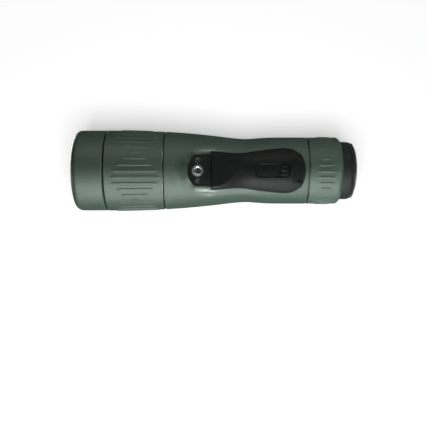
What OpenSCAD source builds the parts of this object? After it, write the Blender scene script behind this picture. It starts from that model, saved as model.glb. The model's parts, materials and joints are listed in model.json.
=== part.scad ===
// Straight hand-held observation and ranging instrument.
// The optical axis runs along Y, objective at -Y, eyepiece at +Y. The foot is underneath, and the
// origin is the mouth of the tripod thread, on the foot's flat face.

/* [Overall] */
// Height of the optical axis above the foot's flat face
axis_h = 41; // [40.5:0.1:42]
// Smoothness of the round parts
round_fn = 96; // [48:8:128]

/* [Objective and focus] */
// Outer radius of the front hood
hood_r = 39.7; // [39.2:0.1:40.2]
// Front edge of the hood, measured from the tripod thread
front_y = -119.2; // [-122:0.1:-118.5]
// Thread radius for a screw-in filter
filter_r = 33.5; // [33.4:0.1:33.6]
// Number of grip rib places around the focus ring, in five groups
focus_ribs = 40; // [40:5:40]
// Height of the grip ribs
rib_h = 0.55; // [0.3:0.05:0.8]
// Focus travel of the inner cell, each way from rest
focus_travel = 6; // [4:0.5:6]

/* [Eyepiece and zoom] */
// Outer radius of the zoom ring
zoom_r = 32.85; // [32.4:0.05:33.2]
// Number of grip rib places around the zoom ring, in five groups
zoom_ribs = 35; // [35:5:35]
// Outer radius of the eyecup
cup_r = 28.5; // [28.2:0.1:28.7]
// Rear end of the eyecup when it is turned down
cup_end = 152.7; // [152:0.1:154]

/* [Foot and battery lid] */
// Half width of the foot plate
foot_hw = 15.1; // [14.8:0.1:15.6]
// Radius of the tripod thread, 1/4 inch
tripod_r = 3.175; // [3.175:0.001:3.175]
// Distance of each anti-twist hole from the tripod thread
twist_x = 10; // [9.8:0.1:10.2]
// Radius of a battery cell
cell_r = 7.8; // [7.5:0.1:7.8]
// Length of a battery cell
cell_l = 27; // [26:0.1:27]

/* [Hidden] */
// body armour radius along the axis: [y, radius]
BODY = [[-32.45,38.3], [-10,36.85], [13.4,34.7], [29.4,32.8], [38,31.85], [47.3,31.4],
  [57.3,32.0], [66,32.6], [77,32.85], [106,32.85]];
// battery lid crown: [y, radius]
LID = [[12,43.85], [22,43.35], [28.5,42.4], [35,41.0], [42,38.7], [50,36.5], [60,35.5],
  [72,35.4], [86,35.4], [95,34.9], [99,34.2], [102.2,33.3]];
// battery lid plan: [y, half width]
LID_WIDTH = [[12.5,18.4], [20,18.0], [30.6,16.8], [38.3,16.6], [45.9,17.2], [55.4,18.7],
  [68.7,20.4], [78.3,21.4], [84,21.6], [89.7,20.7], [93.5,19.0], [97.3,16.1], [99.4,13.4],
  [101.2,9.6]];
// fairing crown around the foot: [y, radius]
FAIRING = [[-24,34.5], [-16,38.2], [-10,40.2], [0,41.6], [12,41.9], [22,40.0], [32,35.5], [40,31]];
// foot screws on the +X side: [x, y]
FOOT_SCREWS = [[9,7], [6.5,-5]];
// measure key, then mode key: [radius, y]
KEYS = [[5.5,42], [4.1,57]];

armour_t = 2.4;
shell_t = 2.2;
foot_face = 41; // depth of the foot's flat face below the axis
// lid hinge
hinge_y = 15.2;
hinge_d = 38.3;
hinge_pin_r = 1.0;
knuckle_r = 2.7;
lug_r = 2.0;
keeper_stud_y = 100.5;

ARMOUR = [0.28,0.35,0.30];
GLASS = [0.6,0.8,0.9,0.5];
PRISM_GLASS = [0.7,0.85,0.9,0.6];
NEAR_BLACK = [0.1,0.1,0.1];

// ---- helpers
// Inside axial() the coordinates are x, depth d below the axis, and distance y along it.
module axial() translate([0,0,axis_h]) rotate([-90,0,0]) children();
// box of half width hw about x
module box(hw,d0,d1,y0,y1,x=0) translate([x-hw,d0,y0]) cube([2*hw,d1-d0,y1-y0]);
// cylinders along depth, along the axis, and along x
module post(r,d0,d1,y=0,x=0) translate([x,d0,y]) rotate([-90,0,0]) cylinder(r=r,h=d1-d0,$fn=48);
module rod(r,y0,y1,x=0,d=0,fn=round_fn) translate([x,d,y0]) cylinder(r=r,h=y1-y0,$fn=fn);
module crossbar(r,x,length,y,fn=48)
  translate([x,0,y]) rotate([0,90,0]) cylinder(r=r,h=length,$fn=fn);
// cylinder of half length hw on the lid's hinge line
module hinge_rod(r,hw,fn=48) translate([0,hinge_d,0]) crossbar(r,-hw,2*hw,hinge_y,fn);
module tube(inner,outer,y0,y1) difference() {
  rod(outer,y0,y1);
  rod(inner,y0-1,y1+1);
}
module oring(r,y,section_r)
  rotate_extrude($fn=round_fn) translate([r,y]) circle(r=section_r,$fn=24);
// turns [radius, y] points about the axis
module revolve(points) rotate_extrude($fn=round_fn) polygon(points);
// raises a plan outline, drawn in x and y, from depth d0 to d1
module plan(d0,d1)
  translate([0,d0,0]) rotate([-90,0,0]) linear_extrude(d1-d0) mirror([0,1]) children();
module around(angles) for (a=angles) rotate([0,0,a]) children();

function arc(x,y,r,angles) = [for (a=angles) [x+r*cos(a),y+r*sin(a)]];
// row of the table at or before y
function row_at(table,y,i=0) =
  (i >= len(table)-2 || y < table[i+1][0]) ? i : row_at(table,y,i+1);
// smooth cubic interpolation in a station table
function value_at(table,y) =
  let(i=row_at(table,y), before=table[max(i-1,0)], start=table[i], end=table[i+1],
    after=table[min(i+2,len(table)-1)], step=end[0]-start[0], t=(y-start[0])/step,
    slope0=(end[1]-before[1])/(end[0]-before[0]),
    slope1=(after[1]-start[1])/(after[0]-start[0]))
  (2*pow(t,3)-3*t*t+1)*start[1] + (pow(t,3)-2*t*t+t)*step*slope0
    + (3*t*t-2*pow(t,3))*end[1] + (pow(t,3)-t*t)*step*slope1;
function body_r(y) = value_at(BODY,y);
// [value + grow, y] points at n+1 even stations
function profile(table,grow,y0,y1,n) =
  [for (i=[0:n]) let(y=y0+(y1-y0)*i/n) [value_at(table,y)+grow,y]];
// everything inside a radius table
module round_solid(table,grow,y0,y1,n)
  revolve(concat([[0,y0]], profile(table,grow,y0,y1,n), [[0,y1]]));

// lens from an edge cylinder and two spherical faces, each with how far it bulges outward
function sag(q,r,bulge) =
  let(face_r=(r*r+bulge*bulge)/(2*abs(bulge))) sign(bulge)*(face_r-sqrt(face_r*face_r-q*q));
module lens(r,y0,y1,front,back) revolve(concat(
  [for (i=[0:8]) let(q=r*i/8) [q,y0-front+sag(q,r,front)]],
  [for (i=[8:-1:0]) let(q=r*i/8) [q,y1+back-sag(q,r,back)]]));

// coil spring along the axis, square wire: the section is the arc that one wire thickness covers
module coil(r,wire_hw,y0,y1,turns,x,d) {
  span = 360*2*wire_hw*turns/(y1-y0);
  translate([x,d,y0])
    linear_extrude(y1-y0-2*wire_hw,twist=-360*turns,slices=12*turns)
      polygon(concat(arc(0,0,r+wire_hw,[for (i=[0:6]) span*i/6]),
        arc(0,0,r-wire_hw,[for (i=[6:-1:0]) span*i/6])));
}

// grip ribs in five groups, longest in the middle of each group
module ribs(count,skip,r,height,mid_y,short,long,start_angle) {
  places = count/5;
  shown = places-skip;
  width = 2.3;
  root = 0.6;
  for (group=[0:4], k=[0:shown-1]) {
    from_mid = k-(shown-1)/2;
    t = from_mid/(shown/2);
    length = short+(long-short)*sqrt(max(0,1-pow(abs(t),2.2)));
    rotate([0,0,start_angle+360*group/5+from_mid*360/count])
      translate([r-root,-width/2,mid_y-length/2]) cube([root+height,width,length]);
  }
}

// ---- shared outlines and openings
module lid_outline(grow,y0) {
  steps = 22;
  side = profile(LID_WIDTH,grow,y0,101.2,steps);
  polygon(concat(side, [[4.5+grow/2,102+grow],[-4.5-grow/2,102+grow]],
    [for (i=[steps:-1:0]) [-side[i][0],side[i][1]]]));
}
// circle cut to a rectangle
module foot_shape(r,hw,y0,y1) intersection() {
  translate([0,7.6]) circle(r=r,$fn=round_fn);
  translate([-hw,y0]) square([2*hw,y1-y0]);
}
module foot_outline(grow) foot_shape(17.5+grow,foot_hw+grow,-12-grow,12.1+grow);
module panel_outline(grow) {
  r = 8.5+grow;
  for (y=[42.5,58.5]) translate([0,y]) circle(r=r,$fn=48);
  translate([-r,42.5]) square([2*r,16]);
}
// battery bay and the latch notch behind it, each from its own top depth
module battery_opening(bay_top,notch_top) {
  box(16.2,bay_top,40,57,90.5);
  box(6.5,notch_top,40,90,98);
}
module at_foot_screws() for (s=[-1,1], place=FOOT_SCREWS) translate([s*place[0],0,place[1]])
  children();
module twist_holes(d0) for (s=[-1,1]) post(1.5,d0,45,x=s*twist_x);

// ---- chassis
module main_housing() color("dimgray") axial() difference() {
  union() {
    round_solid(BODY,-armour_t,-32,104.5,24);
    intersection() {
      plan(29.5,37.2) foot_shape(15.8,13,-10,12);
      rod(60,-10,20);
    }
    // hinge lug and its web
    difference() {
      box(4.8,30,hinge_d,hinge_y+0.2,17.1);
      rod(28,0,30);
    }
    hinge_rod(lug_r,4.8);
  }
  // one stepped cavity: collar for the objective barrel, main room, eyepiece barrel seat
  revolve(concat([[0,-33],[33.4,-33],[33.4,-16]], profile(BODY,-armour_t-shell_t,-16,98,20),
    [[27.5,98],[27.5,106],[0,106]]));
  hinge_rod(hinge_pin_r,20);
  post(4.4,20,45);
  twist_holes(36.5);
  at_foot_screws() {
    post(1.05,20,45);
    post(2.1,20,30);
  }
  battery_opening(10,28);
  post(0.8,20,40,keeper_stud_y);
  for (key=KEYS) post(key[0]+0.7,-40,-20,key[1]);
}
module body_armour() color(ARMOUR) axial() difference() {
  seat = -armour_t+0.04;
  union() {
    round_solid(BODY,0,-32.45,105.95,28);
    difference() {
      intersection() {
        round_solid(FAIRING,0,-20,39,16);
        plan(20,39.2) union() {
          foot_shape(23,20.5,-20,12);
          polygon([[-20.5,11],[20.5,11],[18.6,38],[-18.6,38]]);
        }
      }
      plan(10,45) lid_outline(0.35,12.0);
    }
  }
  // seat on the housing, open at the front, with a lip behind
  revolve(concat([[0,-34],[body_r(-32.45)+seat,-34]], profile(BODY,seat,-32.45,104.6,24),
    [[27.7,104.6],[27.7,107],[0,107]]));
  plan(25,45) foot_outline(0.15);
  box(4.95,25,40,12.0,17.3);
  battery_opening(10,28);
  box(4.7,30.4,31.25,97.9,103);
  plan(-40,-20) panel_outline(0.1);
}

// ---- objective and focus
barrel_front = -117;
hood_seat_r = 37.4;
front_lens_r = 33.15;
seal_ys = [-84,-38];
focus_pin_y = -56;
focus_pin_r = 2.0;
focus_angles = [30,150,270];
// focus ring ends, and the core's outer radius
ring_y0 = -88.95;
ring_y1 = -33.35;
ring_core_r = 37.2;

module objective_barrel() color("gray") axial() difference() {
  revolve([[filter_r,barrel_front],[hood_seat_r,barrel_front],[hood_seat_r,-89.9],[35.0,-89.9],
    [35.0,-32.4],[33.4,-32.4],[33.4,-16],[31.0,-16],[31.0,-40],[32.0,-40],[32.0,-96],
    [33.2,-96],[33.2,-110],[filter_r,-110]]);
  for (y=seal_ys) tube(33.5,36,y-1,y+1);
  // slots for the focus pins
  slot_r = focus_pin_r+0.05;
  around(focus_angles) {
    for (s=[-1,1]) crossbar(slot_r,0,40,focus_pin_y+s*focus_travel);
    box(7.5,-slot_r,slot_r,focus_pin_y-focus_travel,focus_pin_y+focus_travel,32.5);
  }
}
module hood_armour() color(ARMOUR) axial() revolve(concat(
  [[34.2,barrel_front],[34.2,front_y+0.8],[35.0,front_y]],
  arc(hood_r-3,front_y+3,3,[-90:15:0]),
  [[hood_r,-90.3],[hood_r-0.45,-89.85],[hood_seat_r,-89.85],[hood_seat_r,barrel_front]]));
module lens_retainer() color("black") axial()
  revolve([[31.6,-107.5],[31.6,-109.6],[32.4,-110],[33.2,-110],[33.2,-107.5]]);
module front_seal() color("black") axial() oring(32.2,-106.5,0.85);
module objective_front_lens() color(GLASS) axial() lens(front_lens_r,-105.4,-102.2,3.2,2.6);
module objective_spacer() color("black") axial() tube(32.0,front_lens_r,-101.9,-98.9);
module objective_rear_lens() color(GLASS) axial() lens(front_lens_r,-98.85,-96.25,-1.8,1.6);
module focus_slip_rings() color("white") axial() {
  tube(35.1,37.0,-89.75,-89.1);
  tube(35.9,37.0,-33.2,-32.6);
}
module focus_seals() color("black") axial() for (y=seal_ys) oring(34.24,y,0.7);
module focus_ring_core() color("silver") axial() difference() {
  tube(35.05,ring_core_r,ring_y0,ring_y1);
  tube(34,36.4,-64.6,-47.4);
}
module focus_ring_grip() color(ARMOUR) axial() difference() {
  union() {
    revolve([[ring_core_r,ring_y0],[39.3,ring_y0],[39.7,-88.5],[39.7,-74],[39.35,-58],
      [38.9,-44],[38.6,-33.8],[38.2,ring_y1],[ring_core_r,ring_y1]]);
    ribs(focus_ribs,skip=0,r=39.3,height=rib_h,mid_y=-60,short=13,long=44,start_angle=83);
  }
  rod(ring_core_r,-89,-33);
}
module focus_cell() color("black") axial() difference() {
  revolve([[26,-64],[31.95,-64],[31.95,-48],[24,-48],[24,-52],[26,-52]]);
  around(focus_angles) crossbar(focus_pin_r,25,10,focus_pin_y);
}
module focus_lens() color(GLASS) axial() lens(25.97,-60,-55.5,-1.5,1.4);
module focus_pins() color("silver") axial()
  around(focus_angles) crossbar(focus_pin_r,29,7.2,focus_pin_y);

// ---- prism and ranging modules
laser_y = 14;
laser_can_r = 5.95;
laser_nose_r = 3.4;

module prism_frame() color("dimgray") axial() difference() {
  rod(27.5,-12,26);
  box(16,-17,17,-8,22);
  rod(15,-13,0);
  rod(11,20,27);
  post(6,-30,-10,laser_y);
  crossbar(6,10,30,laser_y);
}
// prism outlines: [y, depth]
module roof_prism() color(PRISM_GLASS) axial() for (outline=[
    [[-7.5,-15],[-7.5,10],[2.5,15],[-0.5,-15]],
    [[0.2,-15],[3.2,14.6],[7,14.6],[7,-15]]])
  rotate([0,-90,0]) translate([0,0,-13]) linear_extrude(26) polygon(outline);
module beam_splitter() color(PRISM_GLASS) axial() box(6.5,-6.5,6.5,7.6,20.6);
module laser_emitter() color("goldenrod") axial() {
  post(laser_can_r,-27,-17.2,laser_y);
  post(laser_nose_r,-17.3,-12,laser_y);
  post(4.2,-27.6,-26.9,laser_y);
}
module laser_receiver() color("goldenrod") axial() {
  crossbar(laser_nose_r,12,5.3,laser_y);
  crossbar(laser_can_r,17.2,9.8,laser_y);
}
module optics_tube() color("black") axial() tube(10.6,12.1,26.05,93.1);
module display_unit() color("black") axial() difference() {
  union() {
    box(7,-21.5,-12.6,82,91);
    box(5,-23.2,-21.4,83.5,89.5);
  }
  rod(12.15,80,93);
}
board_top = -17.6;
module main_board() color("green") axial() difference() {
  box(15,board_top,-16,30,80);
  for (s=[-1,1], y=[34,76]) post(1.1,-20,-10,y,s*12);
}
module board_components() color("black") axial() {
  box(5,-19,board_top,40,50);
  box(3,-20.2,board_top,55,62,-6);
  box(3,-19.4,board_top,56,63,6);
  rod(2.2,66,73,-9,-19.8,48);
  box(2.5,-18.1,board_top,66.5,72.5,-9);
  box(3,-20,board_top,66,74,9);
}

// ---- battery bay
cell_x = 8;
cell_d = 22.8;
cell_end = 60+cell_l;

module battery_tray() color("black") axial() difference() {
  intersection() {
    box(17.7,12.6,30,55.5,92.0);
    round_solid(BODY,-armour_t-shell_t-0.1,40,97,14);
  }
  battery_opening(14.2,26);
}
module battery_cells() color("steelblue") axial() for (s=[-1,1]) {
  rod(cell_r,60.3,cell_end-1,s*cell_x,cell_d,64);
  rod(3,cell_end-1.05,cell_end,s*cell_x,cell_d,48);
}
module battery_contacts() color("gold") axial() for (s=[-1,1]) {
  box(4.8,18,27.6,87.2,87.7,s*cell_x);
  box(5.5,17,27.6,57.05,57.5,s*cell_x);
  coil(3.2,0.4,57.4,60.2,3,s*cell_x,cell_d);
}

// ---- foot
bush_r = 4.4;
bush_flange_r = 5.4;

module foot_plate() color(NEAR_BLACK) axial() difference() {
  union() {
    plan(37.2,40.2) foot_outline(0);
    plan(40.1,foot_face) foot_outline(-0.6);
  }
  post(bush_r,30,45);
  post(bush_flange_r,39,45);
  twist_holes(30);
  at_foot_screws() post(1.0,30,39.5);
}
module tripod_bush() color("lightgray") axial() difference() {
  union() {
    post(bush_flange_r,39,foot_face);
    post(bush_r,31,39.1);
  }
  post(tripod_r,32.5,45);
}
// pan head screws, heads inward
module small_screws() color("silver") axial() at_foot_screws() {
  post(1.9,28.4,30);
  post(1.0,29.99,39.4);
}

// ---- battery lid
lid_t = 1.9;

module lid_hinge_pin() color("silver") axial() hinge_rod(hinge_pin_r,14);
module battery_lid() color(NEAR_BLACK) axial() difference() {
  union() {
    difference() {
      intersection() {
        plan(10,foot_face) lid_outline(0,hinge_y);
        round_solid(LID,0,hinge_y,102.2,18);
      }
      round_solid(BODY,0.35,-20,105,26);
      intersection() {
        plan(10,foot_face-lid_t) lid_outline(-1.8,hinge_y+3.2);
        round_solid(LID,-2.0,hinge_y,101.5,18);
      }
    }
    hinge_rod(knuckle_r,18.2,64);
    box(2,30.6,33.9,68.5,70);
  }
  // skirt corners relieved, so they clear the armour as the lid swings
  for (s=[-1,1]) {
    box(3.2,20,36.0,hinge_y-4,18.4,s*17);
    box(3.2,20,33.9,18.3,22.4,s*17);
  }
  // room for the fixed hinge lug and its web
  lug_gap_r = lug_r+0.12;
  box(5.1,20,hinge_d,hinge_y-4,hinge_y+4.4);
  hinge_rod(lug_gap_r,5.1);
  box(5.1,hinge_d-1,hinge_d+lug_gap_r,hinge_y,hinge_y+3.3);
  hinge_rod(hinge_pin_r+0.05,14.2);
  // finger capsule and slider channel
  difference() {
    plan(30,41) union() {
      translate([0,61.4]) circle(r=6.2,$fn=64);
      translate([-6.2,61.4]) square([12.4,25.1]);
    }
    round_solid(LID,-1.15,50,100,14);
  }
  box(2.55,30,40,75.9,84.1);
}
module lid_seal() color("black") axial() intersection() {
  difference() {
    box(17.0,20,40,56.3,91.2);
    box(16.3,19,41,57,90.5);
  }
  difference() {
    round_solid(LID,-2.05,50,100,14);
    round_solid(BODY,0.05,40,105,20);
  }
}
module latch_slider() color([0.12,0.12,0.12]) axial() {
  difference() {
    intersection() {
      box(5.6,30,40,78,86);
      round_solid(LID,0.45,70,100,14);
    }
    round_solid(LID,-1.05,70,100,14);
    for (x=[-4.2:2.8:4.3]) box(0.55,35.1,40,78.9,85.1,x);
  }
  box(2.5,31.4,34.9,80,84);
  box(4.6,31.4,32.9,79,88.9);
  box(2.2,28.6,32.9,87.4,89);
  box(2.2,28.6,30.1,87.5,95);
}
module latch_spring() color("silver") axial() coil(0.8,0.22,70.05,78.95,7,0,31.8);
module keeper_spring() color("silver") axial() {
  box(4.4,30.5,31.1,92.5,102.8);
  post(0.8,28.5,30.6,keeper_stud_y);
}

// ---- keys on top
module button_panel() color(NEAR_BLACK) axial() difference() {
  plan(-33.1,-27) panel_outline(0);
  round_solid(BODY,-armour_t+0.05,28,72,12);
  for (key=KEYS) post(key[0],-40,-20,key[1]);
}
module button_board() color("green") axial() box(8,-25.0,-24.0,35,62);
module button_switches() color("silver") axial() for (key=KEYS) {
  y = key[1];
  box(3,-26.3,-25.0,y-3,y+3);
  post(1.6,-27.0,-26.2,y);
}
// key body, raised top and stem
module key_cap(key) {
  r = key[0];
  y = key[1];
  surface_d = -body_r(y);
  post(r-0.08,surface_d-1.9,surface_d+1.0,y);
  post(r-0.4,surface_d-2.3,surface_d-1.8,y);
  post(r-1.2,surface_d+0.9,-28.4,y);
}
module measure_button() color([0.5,0.12,0.1]) axial() key_cap(KEYS[0]);
module mode_button() color([0.15,0.15,0.15]) axial() key_cap(KEYS[1]);

// ---- eyepiece and zoom
zoom_y0 = 106.85; // front of the zoom ring
zoom_core_r = 30.3;
zoom_screw_y = 114;
zoom_screw_r = 1.5;
guide_angles = [90,210,330];
zoom_lens_r = 16.97;
sleeve_r = 27.2;
sleeve_end = 151;

// zoom drive screw, pointing up from the axis
module drive_screw(start,length)
  rotate([0,0,-90]) crossbar(zoom_screw_r,start,length,zoom_screw_y);

module eyepiece_barrel() color("gray") axial() difference() {
  revolve([[25.0,93],[27.5,93],[27.5,122.5],[24.5,124.5],[24.5,144],[21.5,144],[21.5,122.5],
    [25.0,121.6]]);
  tube(26.5,29,117.95,119.05);
  // slot across the top for the drive screw
  rotate([0,0,-151]) rotate_extrude(angle=122,$fn=round_fn)
    translate([24,zoom_screw_y-zoom_screw_r-0.1]) square([5,3.2]);
  around([0,180]) box(1.2,-1.05,1.05,124,145,24.8);
}
module zoom_slip_ring() color("white") axial() tube(27.7,30.0,106.05,106.75);
module zoom_ring_core() color("silver") axial() difference() {
  tube(27.55,zoom_core_r,zoom_y0,136.0);
  tube(27,28.4,117.85,119.15);
  drive_screw(20,10.2);
}
module zoom_ring_grip() color(ARMOUR) axial() difference() {
  union() {
    revolve(concat([[zoom_core_r,zoom_y0],[zoom_r-0.4,zoom_y0],[zoom_r,107.3],[zoom_r,134.6]],
      [for (a=[15:15:75]) [zoom_r-3.9+3.9*cos(a),134.8+4.0*sin(a)]],
      [[28.9,138.8],[28.9,136.1],[zoom_core_r,136.1]]));
    ribs(zoom_ribs,skip=1,r=zoom_r-0.35,height=rib_h+0.15,mid_y=122.5,short=9,long=18.5,
      start_angle=97);
  }
  rod(zoom_core_r,106,136.1);
}
module zoom_snap_ring() color("silver") axial() difference() {
  tube(26.5,28.2,118.0,119.0);
  box(2,20,30,117,120);
}
module zoom_cam_tube() color("brown") axial() difference() {
  tube(22.6,24.95,95,121.3);
  tube(22,24.3,95.4,106.6);
  tube(22,24.3,110.4,119.6);
  drive_screw(20,10.2);
}
module zoom_drive_screw() color("silver") axial() drive_screw(24.4,5.75);
module zoom_guide_tube() color("gray") axial() difference() {
  revolve([[19.5,93.2],[24.9,93.2],[24.9,94.7],[22.55,94.7],[22.55,121.4],[19.5,121.4]]);
  around(guide_angles) box(3,-1.25,1.25,95.6,120,21);
}
// lens cell with three guide pins
module zoom_cell(y0,pin_y) {
  difference() {
    rod(19.45,y0,y0+7.5);
    rod(17,y0+1.6,y0+8.5);
    rod(15.6,y0-1,y0+2);
  }
  around(guide_angles) crossbar(1.2,19,4.9,pin_y,32);
}
module zoom_front_cell() color("black") axial() zoom_cell(98,101);
module zoom_front_lens() color(GLASS) axial() lens(zoom_lens_r,100.2,104.2,-0.4,1.0);
module zoom_rear_cell() color("black") axial() zoom_cell(111.5,115);
module zoom_rear_lens() color(GLASS) axial() lens(zoom_lens_r,113.6,117.6,-0.4,1.0);
module eyepiece_cap() color("black") axial()
  revolve([[14.5,124],[21.45,124],[21.45,144.1],[20.5,146],[17,146],[17,139],[15.5,137.5],
    [15.5,126],[14.5,126]]);
module field_lens() color(GLASS) axial() lens(15.45,126.1,131.5,-0.05,1.6);
module eye_lens() color(GLASS) axial() lens(16.95,139.1,143.5,1.2,1.4);
module eyecup_lift_ring() color("silver") axial() {
  tube(24.55,25.6,125.5,134);
  around([0,180]) box(0.6,-0.98,0.98,126,133.5,24.4);
}
module eyecup_sleeve() color("black") axial()
  revolve([[25.65,126],[sleeve_r,126],[sleeve_r,sleeve_end],[20,sleeve_end],[20,148.6],
    [25.65,148.6]]);
module eyecup_rubber() color([0.12,0.12,0.12]) axial() revolve(concat(
  [[sleeve_r,139.3],[cup_r-0.3,139.3],[cup_r,139.6],[cup_r,cup_end-5]],
  arc(cup_r-5,cup_end-5,5,[15:15:90]),
  [[19.2,cup_end],[18.2,cup_end-0.9],[18.2,150.2],[20,150.2],[20,sleeve_end],
    [sleeve_r,sleeve_end]]));

main_housing();
body_armour();
objective_barrel();
hood_armour();
lens_retainer();
front_seal();
objective_front_lens();
objective_spacer();
objective_rear_lens();
focus_slip_rings();
focus_seals();
focus_ring_core();
focus_ring_grip();
focus_cell();
focus_lens();
focus_pins();
prism_frame();
roof_prism();
beam_splitter();
laser_emitter();
laser_receiver();
optics_tube();
display_unit();
main_board();
board_components();
battery_tray();
battery_cells();
battery_contacts();
foot_plate();
tripod_bush();
small_screws();
lid_hinge_pin();
battery_lid();
lid_seal();
latch_slider();
latch_spring();
keeper_spring();
button_panel();
button_board();
button_switches();
measure_button();
mode_button();
eyepiece_barrel();
zoom_slip_ring();
zoom_ring_core();
zoom_ring_grip();
zoom_snap_ring();
zoom_cam_tube();
zoom_drive_screw();
zoom_guide_tube();
zoom_front_cell();
zoom_front_lens();
zoom_rear_cell();
zoom_rear_lens();
eyepiece_cap();
field_lens();
eye_lens();
eyecup_lift_ring();
eyecup_sleeve();
eyecup_rubber();
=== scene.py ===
"""Rubber-armoured monocular with a focus ring, a zoom ring and two keys.

The optical axis runs along Y at height AXIS, the objective hood at -Y and the eyecup at +Y.
The keys are on top (+Z); the foot plate and the battery lid are underneath, near z = 0.
Shapes are in millimetres, turned into metres by MM; "depth" is distance below the axis.
Lights and stage are in metres.
"""
import bpy, bmesh, math, json
import numpy as np
from mathutils import Vector, Matrix


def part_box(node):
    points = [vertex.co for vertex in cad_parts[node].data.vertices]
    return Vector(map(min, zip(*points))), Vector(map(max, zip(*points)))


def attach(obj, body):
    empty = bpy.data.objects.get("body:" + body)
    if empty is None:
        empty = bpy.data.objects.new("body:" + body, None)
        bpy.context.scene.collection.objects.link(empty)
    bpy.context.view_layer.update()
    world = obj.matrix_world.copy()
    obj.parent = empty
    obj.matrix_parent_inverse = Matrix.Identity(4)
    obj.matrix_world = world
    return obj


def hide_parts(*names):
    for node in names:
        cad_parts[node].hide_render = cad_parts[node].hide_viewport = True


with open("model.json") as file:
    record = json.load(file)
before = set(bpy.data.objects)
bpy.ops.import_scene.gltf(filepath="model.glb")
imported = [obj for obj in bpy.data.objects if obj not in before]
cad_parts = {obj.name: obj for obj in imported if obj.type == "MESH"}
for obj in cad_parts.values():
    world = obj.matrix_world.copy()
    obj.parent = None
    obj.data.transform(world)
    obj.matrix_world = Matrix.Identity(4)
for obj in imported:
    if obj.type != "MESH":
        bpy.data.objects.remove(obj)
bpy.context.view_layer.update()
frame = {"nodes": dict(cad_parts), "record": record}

MM = 0.001


def cad_box(node):
    low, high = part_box(node)
    return [c / MM for c in low], [c / MM for c in high]


def cad_span(node):
    """Front and rear of a CAD piece along Y."""
    low, high = cad_box(node)
    return low[1], high[1]


# ------------------------------------------------------------------ driving sizes
(_, HOOD_FRONT, hood_bottom), (_, HOOD_REAR, hood_top) = cad_box("hood_armour")
AXIS = (hood_bottom + hood_top) / 2        # height of the optical axis
HOOD_R = (hood_top - hood_bottom) / 2
FOCUS_FRONT, FOCUS_REAR = cad_span("focus_ring_grip")
BODY_FRONT, BODY_REAR = cad_span("body_armour")
ZOOM_FRONT, ZOOM_REAR = cad_span("zoom_ring_grip")
(_, CUP_FRONT, cup_bottom), (_, CUP_REAR, cup_top) = cad_box("eyecup_rubber")
CUP_R = (cup_top - cup_bottom) / 2
ZOOM_R = 32.85

# body tube: (y, radius)
BODY = [(-32.45, 38.55), (-10, 37.0), (13.4, 34.7), (29.4, 32.8), (38, 31.85), (47.3, 31.4),
        (57.3, 32.0), (66, 32.6), (77, 32.85), (106, 32.85)]

# foot plate: an arc in front, straight sides and rear
FOOT_HALF_W = 15.1
FOOT_R = 17.5
FOOT_ARC_Y = 7.6                           # centre of the arc
FOOT_REAR = 12.1
PIN_X = 10                                 # locating holes, either side of the tripod bush

# battery lid
LID_FRONT = 12.5
LID_REAR = 102.2
LID_ROUND_Y = 89.0                         # the rounded rear end starts here
FLAT_DEPTH = 41.0                          # the crown is cut flat at this depth
# (y, depth of the crown on the centre line)
LID_CROWN = [(12, 46.7), (22, 45.6), (28.5, 43.6), (35, 41.0), (42, 38.9), (50, 37.6),
             (60, 37.1), (72, 36.9), (86, 36.6), (95, 35.6), (99, 34.6), (102.2, 33.5)]
# (y, radius of the crown across the lid)
LID_CROSS_R = [(12, 24), (35, 23), (45, 22.5), (60, 24), (72, 26), (86, 26.5), (95, 27),
               (102.2, 29)]
# (y, half width)
LID_HALF_W = [(12.5, 18.4), (20, 18.0), (30.6, 16.8), (38.3, 16.6), (45.9, 17.2), (55.4, 18.7),
              (68.7, 20.4), (78.3, 21.4), (84, 21.6), (89.7, 20.7), (93.5, 19.0), (97.3, 16.1),
              (99.4, 13.4), (101.2, 9.6)]

# keys: (y, radius)
MEASURE_KEY = (42, 5.5)
MODE_KEY = (57, 4.1)


# ------------------------------------------------------------------ curves and distances
def spline(table, y):
    """Smooth curve through the (y, value) stations of a table."""
    table = np.array(table, float)
    y = np.asarray(y, float)
    i = np.clip(np.searchsorted(table[:, 0], y, side="right") - 1, 0, len(table) - 2)
    before, start = table[np.maximum(i - 1, 0)], table[i]
    end, after = table[i + 1], table[np.minimum(i + 2, len(table) - 1)]
    span = end[..., 0] - start[..., 0]
    t = (y - start[..., 0]) / span
    slope0 = (end[..., 1] - before[..., 1]) / (end[..., 0] - before[..., 0])
    slope1 = (after[..., 1] - start[..., 1]) / (after[..., 0] - start[..., 0])
    return ((2 * t**3 - 3 * t**2 + 1) * start[..., 1] + (t**3 - 2 * t**2 + t) * span * slope0
            + (3 * t**2 - 2 * t**3) * end[..., 1] + (t**3 - t**2) * span * slope1)


def body_radius(y):
    return spline(BODY, np.clip(y, BODY[0][0], BODY[-1][0]))


def chord(radius, x):
    """Depth of a tube's underside at distance x from its centre line."""
    return np.sqrt(np.maximum(radius**2 - x**2, 1.0))


def smooth_step(start, end, value):
    t = np.clip((value - start) / (end - start), 0, 1)
    return t * t * (3 - 2 * t)


def roll_off(distance, reach, fullness=0.999):
    """Quarter-circle fall: nearly 1 at an edge, 0 from reach inwards."""
    e = np.clip(1 - distance / reach, 0, 1)
    return 1 - np.sqrt(1 - fullness * e ** 2)


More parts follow.
